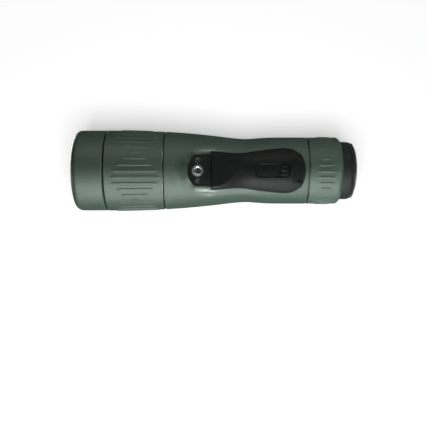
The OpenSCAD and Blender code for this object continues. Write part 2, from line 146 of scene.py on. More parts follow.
def polygon_distance(x, y, polygon):
    """Signed distance to a closed polygon, negative inside."""
    px, py = np.ravel(x), np.ravel(y)
    starts = np.array(polygon, float)
    nearest = np.full(len(px), 1e9)
    inside = np.zeros(len(px), bool)
    for (ax, ay), (bx, by) in zip(starts, np.roll(starts, -1, axis=0)):
        ex, ey = bx - ax, by - ay
        wx, wy = px - ax, py - ay
        t = np.clip((wx * ex + wy * ey) / (ex * ex + ey * ey), 0, 1)
        nearest = np.minimum(nearest, (wx - t * ex) ** 2 + (wy - t * ey) ** 2)
        if abs(ey) > 1e-12:
            spans = ((ay <= py) & (by > py)) | ((by <= py) & (ay > py))
            inside ^= spans & (px < ax + (py - ay) * ex / ey)
    distance = np.sqrt(nearest)
    return np.where(inside, -distance, distance).reshape(np.shape(x))


def slot_distance(x, y, y0, y1, half_w, corner):
    """Signed distance to a rounded rectangle centred on x = 0, negative inside."""
    qx = np.abs(x) - half_w + corner
    qy = np.abs(y - (y0 + y1) / 2) - (y1 - y0) / 2 + corner
    outside = np.sqrt(np.maximum(qx, 0) ** 2 + np.maximum(qy, 0) ** 2)
    return outside + np.minimum(np.maximum(qx, qy), 0) - corner


# ------------------------------------------------------------------ shader helpers
def put(tree, socket, value):
    """Links a socket to another, or sets its value."""
    if isinstance(value, bpy.types.NodeSocket):
        tree.links.new(value, socket)
    else:
        socket.default_value = value


def add(tree, kind, *operands, **values):
    """New node. Operands fill its inputs in order; a keyword is an input or a property."""
    node = tree.nodes.new(kind)
    for key, value in values.items():
        socket = node.inputs.get(key.replace("_", " "))
        if socket is None:
            setattr(node, key, value)
        else:
            put(tree, socket, value)
    for socket, value in zip(node.inputs, operands):
        put(tree, socket, value)
    return node


def calc(tree, operation, *operands, clamp=False):
    return add(tree, "ShaderNodeMath", *operands, operation=operation,
               use_clamp=clamp).outputs[0]


def remap(tree, value, source, to):
    """Maps the range source onto the range to."""
    return add(tree, "ShaderNodeMapRange", value, *source, *to).outputs[0]


def mix_colour(tree, factor, first, second):
    node = add(tree, "ShaderNodeMix", factor, data_type="RGBA")
    for index, colour in ((6, first), (7, second)):     # the colour pair of the mix node
        put(tree, node.inputs[index], (*colour, 1) if isinstance(colour, tuple) else colour)
    return node.outputs[2]


def noise(tree, vector, **values):
    return add(tree, "ShaderNodeTexNoise", Vector=vector, **values).outputs["Fac"]


def object_coords(tree):
    return add(tree, "ShaderNodeTexCoord").outputs["Object"]


def new_material(name):
    material = bpy.data.materials.new(name)
    material.use_nodes = True
    material.node_tree.nodes.clear()
    return material, material.node_tree


def set_surface(tree, shader):
    add(tree, "ShaderNodeOutputMaterial", Surface=shader.outputs[0])


# ------------------------------------------------------------------ materials
def moulded(name, colours, rough=0.5, vary=0.08, grain=0.45, depth=0.02, spec=0.5, metal=0.0,
            brushed=None, dust=0.0, wear=None, coat=0.0, sheen=0.0, polish=None):
    """Moulded or machined surface with fine grain.

    colours drift from one to the other; grain (size) and depth (of the bump) are in mm;
    brushed stretches the grain by axis; wear is (amount, colour) of rubbed edges; polish is
    the roughness lost where the mesh attribute "polish" is 1.
    """
    material, tree = new_material(name)
    colour, colour2 = colours
    coords = object_coords(tree)
    stretched = coords
    if brushed:
        stretched = add(tree, "ShaderNodeMapping", Vector=coords, Scale=brushed).outputs[0]
    big = noise(tree, coords, Scale=38.0, Detail=4.0, Roughness=0.55)
    mid = noise(tree, stretched, Scale=240.0, Detail=5.0, Roughness=0.6)
    fine = noise(tree, stretched, Scale=1.0 / (grain * MM), Detail=3.0, Roughness=0.6)
    cells = add(tree, "ShaderNodeTexVoronoi", Vector=coords,
                Scale=1.0 / (grain * 1.6 * MM)).outputs["Distance"]

    base = mix_colour(tree, remap(tree, big, source=(0.3, 0.7), to=(0.0, 1.0)), colour, colour2)
    speck = tuple(min(1, v * 1.5 + 0.004) for v in colour2)
    base = mix_colour(tree, remap(tree, fine, source=(0.35, 0.75), to=(0.0, 0.16)), base, speck)
    if dust:
        amount = remap(tree, mid, source=(0.56, 0.74), to=(0.0, dust))
        base = mix_colour(tree, amount, base, (0.30, 0.31, 0.29))
    if wear:
        edges = add(tree, "ShaderNodeNewGeometry").outputs["Pointiness"]
        amount = remap(tree, edges, source=(0.53, 0.62), to=(0.0, wear[0]))
        base = mix_colour(tree, amount, base, wear[1])

    roughness = calc(tree, "ADD",
                     remap(tree, mid, source=(0.3, 0.7), to=(rough - vary, rough + vary)),
                     remap(tree, cells, source=(0.0, 0.6), to=(-0.02, 0.03)))
    coat_roughness = 0.3
    if polish is not None:
        # polished places are smoother and coated; negative ones lose their highlights
        mask = add(tree, "ShaderNodeAttribute", attribute_name="polish").outputs["Fac"]
        roughness = calc(tree, "MULTIPLY_ADD", mask, -polish, roughness)
        coat = calc(tree, "MULTIPLY", mask, 0.85, clamp=True)
        spec = calc(tree, "MULTIPLY", calc(tree, "ADD", mask, 1.0, clamp=True), spec)
        coat_roughness = 0.2
    relief = calc(tree, "ADD",
                  remap(tree, fine, source=(0.2, 0.8), to=(0.0, 0.6)),
                  remap(tree, cells, source=(0.0, 0.8), to=(0.0, 0.4)))
    bump = add(tree, "ShaderNodeBump", Strength=1.0, Distance=depth * MM, Height=relief)
    set_surface(tree, add(
        tree, "ShaderNodeBsdfPrincipled", Base_Color=base, Roughness=roughness, Metallic=metal,
        Specular_IOR_Level=spec, Coat_Weight=coat, Coat_Roughness=coat_roughness,
        Sheen_Weight=sheen, Sheen_Roughness=0.5, Normal=bump.outputs[0]))
    return material


def coated_glass(name, tint, film):
    """Dark glass with an interference film, its thickness in nanometres."""
    material, tree = new_material(name)
    smear = noise(tree, object_coords(tree), Scale=60.0, Detail=3.0)
    # the base colour runs from half the tint head-on to the full tint at grazing views: a
    # painted sheen towards the rim
    facing = add(tree, "ShaderNodeLayerWeight", Blend=0.35).outputs["Facing"]
    base = mix_colour(tree, facing, tuple(v * 0.5 for v in tint), tint)
    amount = remap(tree, smear, source=(0.55, 0.8), to=(0.0, 0.10))
    base = mix_colour(tree, amount, base, (0.25, 0.27, 0.28))
    set_surface(tree, add(
        tree, "ShaderNodeBsdfPrincipled", Base_Color=base,
        Roughness=remap(tree, smear, source=(0.4, 0.8), to=(0.03, 0.09)),
        Specular_IOR_Level=0.7, Thin_Film_Thickness=film, Thin_Film_IOR=1.6,
        Coat_Weight=0.6, Coat_Roughness=0.03))
    return material


def circuit_board(name):
    material, tree = new_material(name)
    bricks = add(tree, "ShaderNodeTexBrick", Vector=object_coords(tree), Scale=160.0,
                 Color1=(0.012, 0.11, 0.045, 1), Color2=(0.016, 0.14, 0.055, 1),
                 Mortar=(0.03, 0.22, 0.09, 1), Mortar_Size=0.03)
    bump = add(tree, "ShaderNodeBump", Strength=0.5, Distance=0.03 * MM,
               Height=bricks.outputs["Fac"])
    set_surface(tree, add(tree, "ShaderNodeBsdfPrincipled", Roughness=0.35,
                          Base_Color=bricks.outputs["Color"], Normal=bump.outputs[0]))
    return material


def grey(value):
    return (value, value, value)


GREENS = ((0.031, 0.052, 0.040), (0.036, 0.058, 0.045))
MATERIALS = {
    "armour": moulded(
        "green_armour", GREENS, rough=0.43, vary=0.03, grain=0.42, depth=0.02,
        dust=0.03, wear=(0.2, (0.11, 0.14, 0.12)), polish=0.27),
    "grip": moulded(
        "green_grip", GREENS, rough=0.41, vary=0.03, grain=0.38, depth=0.018,
        dust=0.03, wear=(0.3, (0.12, 0.15, 0.13))),
    "black_plastic": moulded(
        "black_plastic", ((0.0075, 0.0085, 0.0082), (0.011, 0.012, 0.0115)), rough=0.36,
        vary=0.05, grain=0.5, depth=0.012, spec=0.45, dust=0.02, wear=(0.3, grey(0.05))),
    "lid_black": moulded(
        "lid_black", ((0.0040, 0.0046, 0.0044), (0.0062, 0.0068, 0.0066)), rough=0.46,
        vary=0.05, grain=0.5, depth=0.014, spec=0.25, dust=0.015, wear=(0.2, grey(0.04))),
    "foot_black": moulded(
        "foot_black", ((0.0040, 0.0045, 0.0045), (0.0062, 0.0067, 0.0066)), rough=0.42,
        vary=0.06, grain=0.4, depth=0.014, spec=0.35, dust=0.03, wear=(0.4, grey(0.08))),
    "cup_rubber": moulded(
        "cup_rubber", ((0.0032, 0.0043, 0.0039), (0.0055, 0.0068, 0.0063)), rough=0.54,
        vary=0.06, grain=0.5, depth=0.03, spec=0.38, dust=0.04, sheen=0.03),
    "black_metal": moulded(
        "black_anodised", ((0.010, 0.010, 0.011), (0.016, 0.016, 0.017)), rough=0.42,
        vary=0.05, grain=0.25, depth=0.008, brushed=(1.0, 9.0, 1.0),
        wear=(0.4, (0.35, 0.35, 0.36))),
    "cast_shell": moulded(
        "cast_shell", ((0.07, 0.075, 0.075), (0.10, 0.105, 0.105)), rough=0.45, vary=0.08,
        grain=0.8, depth=0.04, metal=0.7, wear=(0.4, grey(0.5))),
    "bare_metal": moulded(
        "turned_aluminium", ((0.55, 0.56, 0.57), (0.68, 0.69, 0.70)), rough=0.28, vary=0.08,
        grain=0.3, depth=0.01, metal=1.0, brushed=(1.0, 12.0, 1.0)),
    "steel": moulded(
        "bright_steel", ((0.62, 0.62, 0.63), (0.78, 0.78, 0.79)), rough=0.2, vary=0.07,
        grain=0.25, depth=0.006, metal=1.0, dust=0.03),
    "dark_steel": moulded(
        "dark_steel", (grey(0.20), grey(0.27)), rough=0.34, vary=0.05, grain=0.25,
        depth=0.006, metal=1.0),
    "slip": moulded(
        "slip_plastic", (grey(0.004), grey(0.007)), rough=0.8, vary=0.05, grain=0.5,
        spec=0.15),
    "sensor": moulded(
        "gold_plate", ((0.62, 0.44, 0.18), (0.75, 0.55, 0.24)), rough=0.25, grain=0.3,
        depth=0.006, metal=1.0),
    "chip": moulded(
        "moulded_chip", ((0.012, 0.012, 0.013), (0.02, 0.02, 0.021)), rough=0.5, grain=0.3),
    "cell_wrap": moulded(
        "cell_wrap", ((0.03, 0.10, 0.16), (0.045, 0.13, 0.20)), rough=0.25, vary=0.05,
        grain=0.8, depth=0.02, coat=0.5),
    "key_red": moulded(
        "key_rubber_red", ((0.17, 0.022, 0.016), (0.22, 0.03, 0.022)), rough=0.5, grain=0.4,
        depth=0.02, dust=0.04),
    "board": circuit_board("solder_mask"),
    "optical": coated_glass("coated_glass", tint=(0.012, 0.02, 0.028), film=480.0),
    "eye_glass": coated_glass("eye_glass", tint=(0.02, 0.016, 0.028), film=390.0),
}

slot_of = {s["node"]: s.get("material_slot") for s in frame["record"]["subparts"]}
for node_name, cad_object in frame["nodes"].items():
    cad_object.data.materials.clear()
    cad_object.data.materials.append(
        MATERIALS.get(slot_of.get(node_name), MATERIALS["black_plastic"]))


# ------------------------------------------------------------------ mesh helpers
def mesh_object(name, verts, faces, weld=True):
    mesh = bpy.data.meshes.new(name)
    mesh.from_pydata([tuple(float(c) * MM for c in v) for v in verts], [],
                     [tuple(int(i) for i in f) for f in faces])
    bm = bmesh.new()
    bm.from_mesh(mesh)
    if weld:
        bmesh.ops.remove_doubles(bm, verts=bm.verts, dist=1e-6)
        bmesh.ops.dissolve_degenerate(bm, edges=bm.edges, dist=1e-7)
    bmesh.ops.recalc_face_normals(bm, faces=bm.faces)
    bm.to_mesh(mesh)
    bm.free()
    obj = bpy.data.objects.new(name, mesh)
    bpy.context.scene.collection.objects.link(obj)
    return obj


def make(name, verts, faces, material, body, replaces=None, slot=None, sharp=32.0):
    """A finished piece riding on body; slot is not used."""
    obj = mesh_object(name, verts, faces)
    obj.data.shade_smooth()
    obj.data.set_sharp_from_angle(angle=math.radians(sharp))
    obj.data.materials.append(MATERIALS[material])
    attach(obj, body)
    if replaces:
        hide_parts(replaces)
    slot or material
    return obj


def band_faces(n, rings):
    """Quads between successive closed rings of n points."""
    return [(k * n + i, k * n + (i + 1) % n, (k + 1) * n + (i + 1) % n, (k + 1) * n + i)
            for k in range(rings - 1) for i in range(n)]


def lathe(profile, n, place):
    """Closed profile turned n steps; place(r, s, angle) puts a profile point in space."""
    k = len(profile)
    verts = [place(r, s, 2 * math.pi * i / n) for i in range(n) for r, s in profile]
    faces = []
    for i in range(n):
        j = (i + 1) % n
        for a in range(k):
            b = (a + 1) % k
            faces.append((i * k + a, i * k + b, j * k + b, j * k + a))
    return verts, faces


def around_axis(r, y, angle):
    """Point at an angle from straight down, towards -X."""
    return (-r * math.sin(angle), y, AXIS - r * math.cos(angle))


def revolve(name, profile, n, material, replaces, **options):
    """A closed (r, y) profile turned about the optical axis."""
    body = options.pop("body", "chassis")
    return make(name, *lathe(profile, n, around_axis), material, body, replaces, **options)


def turned_z(name, profile, material, body="chassis", replaces=None, cx=0.0, cy=0.0, n=96,
             thread=None, **options):
    """A closed (r, z) profile turned about a vertical line; thread(r, z, turn) alters r."""
    def place(r, z, angle):
        if thread:
            r = thread(r, z, angle / (2 * math.pi))
        return (cx + r * math.cos(angle), cy + r * math.sin(angle), z)
    return make(name, *lathe(profile, n, place), material, body, replaces, **options)


def fillet(corners, seg=7):
    """Rounds a closed outline of corners (x, y) or (x, y, radius)."""
    out = []
    n = len(corners)
    for i, corner in enumerate(corners):
        radius = corner[2] if len(corner) > 2 else 0
        here = np.array(corner[:2], float)
        if radius <= 0:
            out.append(tuple(here))
            continue
        back = np.array(corners[i - 1][:2], float) - here
        ahead = np.array(corners[(i + 1) % n][:2], float) - here
        back_len, ahead_len = np.linalg.norm(back), np.linalg.norm(ahead)
        back, ahead = back / back_len, ahead / ahead_len
        angle = math.acos(np.clip(back @ ahead, -1, 1))
        if angle > math.pi - 0.02:
            out.append(tuple(here))
            continue
        trim = min(radius / math.tan(angle / 2), back_len * 0.49, ahead_len * 0.49)
        fit_r = trim * math.tan(angle / 2)
        bisector = (back + ahead) / np.linalg.norm(back + ahead)
        centre = here + bisector * (fit_r / math.sin(angle / 2))
        first, last = here + back * trim - centre, here + ahead * trim - centre
        start = math.atan2(first[1], first[0])
        sweep = (math.atan2(last[1], last[0]) - start + math.pi) % (2 * math.pi) - math.pi
        for k in range(seg + 1):
            q = start + sweep * k / seg
            out.append((centre[0] + fit_r * math.cos(q), centre[1] + fit_r * math.sin(q)))
    return out


def quarter_ellipse(r, y, dr, dy, n=14):
    """From the side (r, y + dy) round to the end (r - dr, y); dy may be negative."""
    return [(r - dr * (1 - math.cos(q)), y + dy * (1 - math.sin(q)))
            for q in np.linspace(0, math.pi / 2, n)]


def inset(outline, amount):
    """Moves each point of a smooth counter-clockwise outline inwards."""
    points = np.array(outline, float)
    tangent = np.roll(points, -1, 0) - np.roll(points, 1, 0)
    tangent /= np.linalg.norm(tangent, axis=1)[:, None]
    return points + np.stack([-tangent[:, 1], tangent[:, 0]], 1) * amount


def prism_z(outline, levels):
    """Closed solid standing along Z from (z, inset) levels; outline(inset) gives XY points."""
    rings = [[(x, y, z) for x, y in outline(amount)] for z, amount in levels]
    n = len(rings[0])
    last = (len(rings) - 1) * n
    faces = band_faces(n, len(rings))
    faces += [tuple(range(n)), tuple(reversed(range(last, last + n)))]
    return sum(rings, []), faces


def round_cutter(cx, cy, radius, n, levels):
    def circle(amount):
        r = radius - amount
        angles = [2 * math.pi * i / n for i in range(n)]
        return [(cx + r * math.cos(a), cy + r * math.sin(a)) for a in angles]
    return mesh_object("tool", *prism_z(circle, levels), weld=False)


def cut(obj, cutters):
    """Takes the cutters out of obj, then drops them."""
    for cutter in cutters:
        modifier = obj.modifiers.new("cut", "BOOLEAN")
        modifier.operation = "DIFFERENCE"
        modifier.solver = "EXACT"
        modifier.object = cutter
    depsgraph = bpy.context.evaluated_depsgraph_get()
    mesh = bpy.data.meshes.new_from_object(obj.evaluated_get(depsgraph))
    obj.modifiers.clear()
    old = obj.data
    obj.data = mesh
    mesh.name = obj.name
    bpy.data.meshes.remove(old)
    mesh.shade_smooth()
    mesh.set_sharp_from_angle(angle=math.radians(30))
    for cutter in cutters:
        data = cutter.data
        bpy.data.objects.remove(cutter)
        bpy.data.meshes.remove(data)


def shell(outer, inner, active, wrap=False):
    """Joins two matching (rows, cols, 3) grids into a closed shell over the active cells."""
    nr, nc = outer.shape[:2]
    verts = np.concatenate([outer.reshape(-1, 3), inner.reshape(-1, 3)])
    off = nr * nc
    cells = nc if wrap else nc - 1

    def is_active(r, c):
        return 0 <= r < nr - 1 and (wrap or 0 <= c < cells) and active[r, c % cells]

    faces = []
    for r in range(nr - 1):
        for c in range(cells):
            if not active[r, c]:
                continue
            right = (c + 1) % nc
            a, b = r * nc + c, r * nc + right
            e, d = a + nc, b + nc
            faces.append((a, b, d, e))
            faces.append((a + off, e + off, d + off, b + off))
            if not is_active(r - 1, c):
                faces.append((a, a + off, b + off, b))
            if not is_active(r + 1, c):
                faces.append((e, d, d + off, e + off))
            if not is_active(r, c - 1):
                faces.append((a, e, e + off, a + off))
            if not is_active(r, c + 1):
                faces.append((b, b + off, d + off, d))
    used = np.unique(np.array(faces))
    remapped = np.full(len(verts), -1)
    remapped[used] = np.arange(len(used))
    return verts[used], [tuple(remapped[i] for i in f) for f in faces]


def paint_polish(obj, mask):
    """Stores mask(x, y, z), worked out per vertex in mm, as the attribute "polish"."""
    mesh = obj.data
    coords = np.zeros(len(mesh.vertices) * 3)
    mesh.vertices.foreach_get("co", coords)
    values = mask(*(coords.reshape(-1, 3) / MM).T)
    attribute = mesh.attributes.new("polish", "FLOAT", "POINT")
    attribute.data.foreach_set("value", values.astype(np.float32))


# ------------------------------------------------------------------ hood, barrel and lenses
def build_hood():
    radius = HOOD_R - 0.05
    lip = HOOD_FRONT - 0.9
    seat_r = 37.4
    revolve("hood_shell", fillet(
        [(radius - 0.55, HOOD_REAR - 0.2, 0.4), (radius, HOOD_REAR - 0.9, 0.8)]
        + quarter_ellipse(radius, lip, dr=4.6, dy=6.4)
        + [(34.8, lip, 0.4), (34.25, HOOD_FRONT + 1.2, 0.5), (34.2, HOOD_FRONT + 2.2, 0),
           (seat_r, HOOD_FRONT + 2.2, 0), (seat_r, HOOD_REAR, 0)], seg=10),
        288, "armour", "hood_armour")


# barrel behind its toothed mouth, bore first and then back along the outside: (r, y)
BARREL = [
    (33.5, -110.0), (33.2, -110.0), (33.2, -96.0), (32.0, -96.0), (32.0, -40.0), (31.0, -40.0),
    (31.0, -16.0), (33.4, -16.0), (33.4, -32.4), (35.0, -32.4), (35.0, -37.0), (33.5, -37.0),
    (33.5, -39.0), (35.0, -39.0), (35.0, -83.0), (33.5, -83.0), (33.5, -85.0), (35.0, -85.0),
    (35.0, -89.9), (37.4, -89.9), (37.4, -117.0), (33.9, -117.0)]


def build_barrel():
    """Tube with ten small grooves just inside its mouth."""
    bore_r, groove_r, pitch = 33.5, 33.86, 0.75
    teeth = []
    for i in range(10):
        y = HOOD_FRONT + 2.3 + pitch * i
        teeth += [(bore_r, y), (groove_r, y + 0.18), (groove_r, y + 0.32), (bore_r, y + 0.5),
                  (bore_r, y + pitch)]
    revolve("barrel_tube", teeth + BARREL, 192, "black_metal", "objective_barrel", sharp=25)


def build_retainer():
    """Ring whose bore narrows in five steps towards the lens."""
    outer_r, front, rear = 33.2, -110.0, -107.5
    step_r, step_y = 0.32, 0.42
    profile = [(outer_r, rear), (outer_r, front)]
    for i in range(5):
        r = outer_r - step_r * (i + 1)
        y = front + step_y * i
        profile += [(r + 0.08, y), (r, y + 0.12), (r, front + step_y * (i + 1))]
    profile += [(31.6, rear)]
    revolve("retainer_ring", profile, 192, "black_metal", "lens_retainer", sharp=20)


def lens_profile(radius, front, rear, front_bulge, rear_bulge):
    """Edge thickness from front to rear, both faces bulging outwards."""
    def sag(bulge, r):
        sphere = (radius * radius + bulge * bulge) / (2 * bulge)
        return sphere - math.sqrt(sphere * sphere - r * r)
    steps = 26
    radii = [max(radius * i / steps, 0.02) for i in range(steps + 1)]
    return ([(r, front - front_bulge + sag(front_bulge, r)) for r in radii]
            + [(r, rear + rear_bulge - sag(rear_bulge, r)) for r in reversed(radii)])


build_hood()
build_barrel()
build_retainer()
revolve("front_lens", lens_profile(33.15, -105.4, -102.2, front_bulge=3.2, rear_bulge=2.6),
        128, "optical", "objective_front_lens")
revolve("eye_lens_glass", lens_profile(16.95, 139.1, 143.5, front_bulge=1.2, rear_bulge=1.4),
        96, "eye_glass", "eye_lens", slot="optical")


# ------------------------------------------------------------------ ribbed rings
def ribbed(name, body, replaces, surface, rows, mean_r, inner_r, pitch, start, lengths, middle,
           half, flank, height):
    """Ring with five groups of raised ribs.

    surface(y) is the radius between ribs; pitch and start are in degrees; lengths are the
    ribs of one group, centred on y = middle; half is half a rib's width at mid flank.
    """
    groups = 5
    period = 360.0 / groups
    ribs = [(start + k * pitch + g * period, length)
            for g in range(groups) for k, length in enumerate(lengths)]
    # columns close together over each rib, evenly spread between groups
    offsets = np.array([0, 0.45 * half] + [half + flank * f for f in (
        -0.75, -0.5, -0.22, 0, 0.22, 0.5, 0.75, 1.15)])
    offsets = np.degrees(np.concatenate([-offsets[::-1][:-1], offsets]) / mean_r)
    columns = np.concatenate([centre + offsets for centre, _ in ribs])
    step = math.degrees(1.15 / mean_r)
    for g in range(groups):
        last = start + (len(lengths) - 1) * pitch + g * period + offsets[-1]
        first = start + (g + 1) * period + offsets[0]
        count = int((first - last) / step)
        if count > 1:
            columns = np.concatenate([columns, np.linspace(last, first, count + 1)[1:-1]])
    columns = np.radians(np.unique(np.round(np.mod(columns, 360.0), 5)))

    theta, y = np.meshgrid(columns, rows)
    radius = surface(y)
    for centre, length in ribs:
        turn = np.mod(theta - math.radians(centre) + math.pi, 2 * math.pi) - math.pi
        fall = min(5.0, length * 0.32)
        fade = smooth_step(0.0, 1.0, (length / 2 - np.abs(y - middle)) / fall)
        width = half * (0.62 + 0.38 * fade)
        side = smooth_step(width - flank * 0.5, width + flank * 0.5, np.abs(turn) * mean_r)
        radius = radius + height * fade * (1 - side)
    n, m = len(columns), len(rows)
    outer = np.stack([-radius * np.sin(theta), y, AXIS - radius * np.cos(theta)], -1)
    bore = [np.stack([-inner_r * np.sin(columns), np.full(n, end),
                      AXIS - inner_r * np.cos(columns)], -1) for end in (rows[0], rows[-1])]
    faces = band_faces(n, m)
    front, rear = m * n, m * n + n         # first points of the two bore rings
    last = (m - 1) * n
    for c in range(n):
        e = (c + 1) % n
        faces.append((c, front + c, front + e, e))
        faces.append((last + c, last + e, rear + e, rear + c))
        faces.append((front + c, rear + c, rear + e, front + e))
    make(name, np.concatenate([outer.reshape(-1, 3), *bore]), faces, "grip", body, replaces,
         slot="armour", sharp=48)


def end_rows(y0, y1, front_len, rear_len, rear_count, step):
    """Rows along the axis, close together at the rounded ends."""
    front = y0 + front_len * (1 - np.cos(np.linspace(0, math.pi / 2, 7)))
    rear = y1 - rear_len * (1 - np.cos(np.linspace(0, math.pi / 2, rear_count)))[::-1]
    count = int((rear[0] - front[-1]) / step) + 2
    return np.concatenate([front, np.linspace(front[-1], rear[0], count)[1:-1], rear])


def build_focus_grip():
    y0, y1 = FOCUS_FRONT + 0.2, FOCUS_REAR - 0.2
    middle, edge = -59.8, 0.6
    stations = [(FOCUS_FRONT, 39.8), (FOCUS_FRONT + 14, 39.65), (-62, 39.3), (-50, 38.95),
                (-42, 38.75), (FOCUS_REAR, 38.6)]      # (y, radius)

    def surface(y):
        return (spline(stations, y) - edge * roll_off(y - y0, edge) * 0.8
                - edge * roll_off(y1 - y, edge) * 0.8)

    ribbed("focus_grip", "focus_ring", "focus_ring_grip", surface,
           end_rows(y0, y1, edge, edge, rear_count=6, step=0.75),
           mean_r=float(spline(stations, middle)), inner_r=37.2, pitch=9.0, start=-27.0,
           lengths=[12, 28, 36, 44, 47, 45, 37, 29], middle=middle,
           half=1.22, flank=0.60, height=0.62)


def build_zoom_grip():
    y0 = ZOOM_FRONT + 0.2

    def surface(y):
        rear = np.clip(1 - (ZOOM_REAR - y) / 4.0, 0, 1)
        return (ZOOM_R - 0.4 * roll_off(y - y0, 0.6)
                - 3.75 * (1 - (1 - rear ** 1.55 * 0.9995) ** (1 / 1.55)))

    ribbed("zoom_grip", "zoom_ring", "zoom_ring_grip", surface,
           end_rows(y0, ZOOM_REAR, 0.5, 4.0, rear_count=9, step=0.6),
           mean_r=ZOOM_R, inner_r=28.85, pitch=10.45, start=-20.2,
           lengths=[10, 17, 18.5, 19, 18, 13], middle=122.3,
           half=1.15, flank=0.58, height=0.58)


build_focus_grip()
build_zoom_grip()


# ------------------------------------------------------------------ outlines of foot and lid
def foot_outline():
    """Counter-clockwise in X, Y from the rear corner at -X."""
    reach = math.asin(FOOT_HALF_W / FOOT_R)
    front = [(FOOT_R * math.sin(t), FOOT_ARC_Y - FOOT_R * math.cos(t))
             for t in np.linspace(-reach, reach, 40)]
    return [(-FOOT_HALF_W, FOOT_REAR)] + front + [(FOOT_HALF_W, FOOT_REAR)]


def lid_edge(y):
    """Half width, closing in a round end."""
    y = np.asarray(y, float)
    sides = spline(LID_HALF_W, np.minimum(y, 97.3))
    t = np.clip((y - LID_ROUND_Y) / (LID_REAR - LID_ROUND_Y), 0, 1)
    end = 20.9 * np.sqrt(np.clip(1 - t ** 2.35, 0, 1))
    return np.where(y < LID_ROUND_Y, sides, np.minimum(sides, np.maximum(end, 0.4)))


def lid_outline():
    end = 97 + (102.0 - 97) * np.sin(np.linspace(0, math.pi / 2, 24))[1:]
    y = np.concatenate([np.linspace(LID_FRONT, 97, 120), end])
    side = list(zip(lid_edge(y), y))
    return side + [(-x, y) for x, y in reversed(side)]


FOOT = foot_outline()
LID = lid_outline()


# ------------------------------------------------------------------ body armour
def armour_depth(x, y, radius):
    """Depth of the skin: a level land beside the foot and a long ramp ahead of it."""
    base = chord(radius, x)
    angle = np.arctan2(np.abs(x), np.maximum(FOOT_ARC_Y - y, 1e-3))
    nose = np.where(y < FOOT_ARC_Y, np.cos(np.clip(angle, 0, math.pi / 2)), 0.0)
    # distance from foot and lid, averaged along Y
    shifts = np.linspace(-7, 7, 15)
    weights = np.cos(shifts / 8 * math.pi / 2) ** 2
    soft = sum(weight * np.minimum(polygon_distance(x, y + shift, FOOT),
                                   polygon_distance(x, np.minimum(y + shift, 40.0), LID))
               for shift, weight in zip(shifts, weights)) / weights.sum()
    soft = np.maximum(soft, 0)
    land = (1.15 * (1 - np.clip(soft / 8.0, 0, 1)) ** 2 * (1 - nose ** 2)
            * (1 - smooth_step(11.0, 30.0, y)) * smooth_step(-14.0, -2.0, y))
    near_lid = np.where(y > 40, 50.0, polygon_distance(x, y, LID))
    near = np.maximum(np.minimum(polygon_distance(x, y, FOOT), near_lid), 0)
    t = np.clip(near / (4.0 + 9.5 * nose ** 1.5), 0, 1)
    ramp = (np.maximum(37.2 + 3.6 * nose - base, 0) * (1 - t) ** 2 * (1 + 0.9 * t)
            * smooth_step(0.5, 0.95, nose))
    return base + (ramp - land)


def armour_polish(x, y, z):
    """Smooth around the foot and beside the lid, on the lower half only."""
    near = np.minimum(polygon_distance(x, y, FOOT), polygon_distance(x, y, LID))
    return ((1 - smooth_step(4.0, 11.0, near)) * smooth_step(-6.5, 7.5, y)
            * (1 - 0.72 * smooth_step(10.0, 20.0, y)) * (1 - smooth_step(45.0, 62.0, y))
            * (z < AXIS))


def build_armour():
    belly_x = 28.0                         # the shaped underside reaches this far each way
    around = 120                           # columns over the rest of the tube
    thickness = 2.35
    front, rear = BODY_FRONT + 0.2, BODY_REAR - 0.2
    cols = np.unique(np.round(np.concatenate([
        np.linspace(0, 6.5, 10), np.linspace(6.5, 14, 11), np.linspace(14, 16.2, 5),
        np.linspace(16.2, 22, 13), np.linspace(22, belly_x, 9)]), 4))
    cols = np.concatenate([-cols[::-1][:-1], cols])
    rows = np.unique(np.round(np.concatenate([
        [front, front + 0.15, front + 0.4, front + 0.8], np.linspace(front + 0.8, -22, 12),
        np.linspace(-22, 14, 62), np.linspace(14, 48, 44), np.linspace(48, 57, 9),
        np.linspace(57, 90.5, 30), np.linspace(90.5, 98, 8), np.linspace(98, rear - 0.8, 8),
        [rear - 0.4, rear - 0.15, rear]]), 4))
    x, y = np.meshgrid(cols, rows)
    radius = (body_radius(rows) - 0.5 * roll_off(rows - front, 0.6)
              - 0.5 * roll_off(rear - rows, 0.6))

    def grid(tube_r, depth):
        """Belly columns at depth, then the tube from the +X side round the top."""
        first = np.arcsin(belly_x / tube_r)
        angle = np.linspace(first, 2 * math.pi - first, around + 2)[1:-1].T
        r = tube_r[:, None]
        belly = np.stack([x, y, AXIS - depth], -1)
        rest_y = np.repeat(rows[:, None], around, 1)
        rest = np.stack([r * np.sin(angle), rest_y, AXIS - r * np.cos(angle)], -1)
        return np.concatenate([belly, rest], 1)

    inner_r = radius - thickness
    outer = grid(radius, armour_depth(x, y, radius[:, None]))
    inner = grid(inner_r, chord(inner_r[:, None], x))
    active = np.ones((len(rows) - 1, len(cols) + around), bool)
    mid_x, mid_y = np.meshgrid((cols[:-1] + cols[1:]) / 2, (rows[:-1] + rows[1:]) / 2)
    battery = (np.abs(mid_x) < 16.2) & (57 < mid_y) & (mid_y < 90.5)
    catch = (np.abs(mid_x) < 6.5) & (90 < mid_y) & (mid_y < 98)
    bush = mid_x * mid_x + mid_y * mid_y < 42
    active[:, :len(cols) - 1] = ~(battery | catch | bush)
    skin = make("armour_skin", *shell(outer, inner, active, wrap=True), "armour", "chassis",
                "body_armour", sharp=42)
    paint_polish(skin, armour_polish)


build_armour()


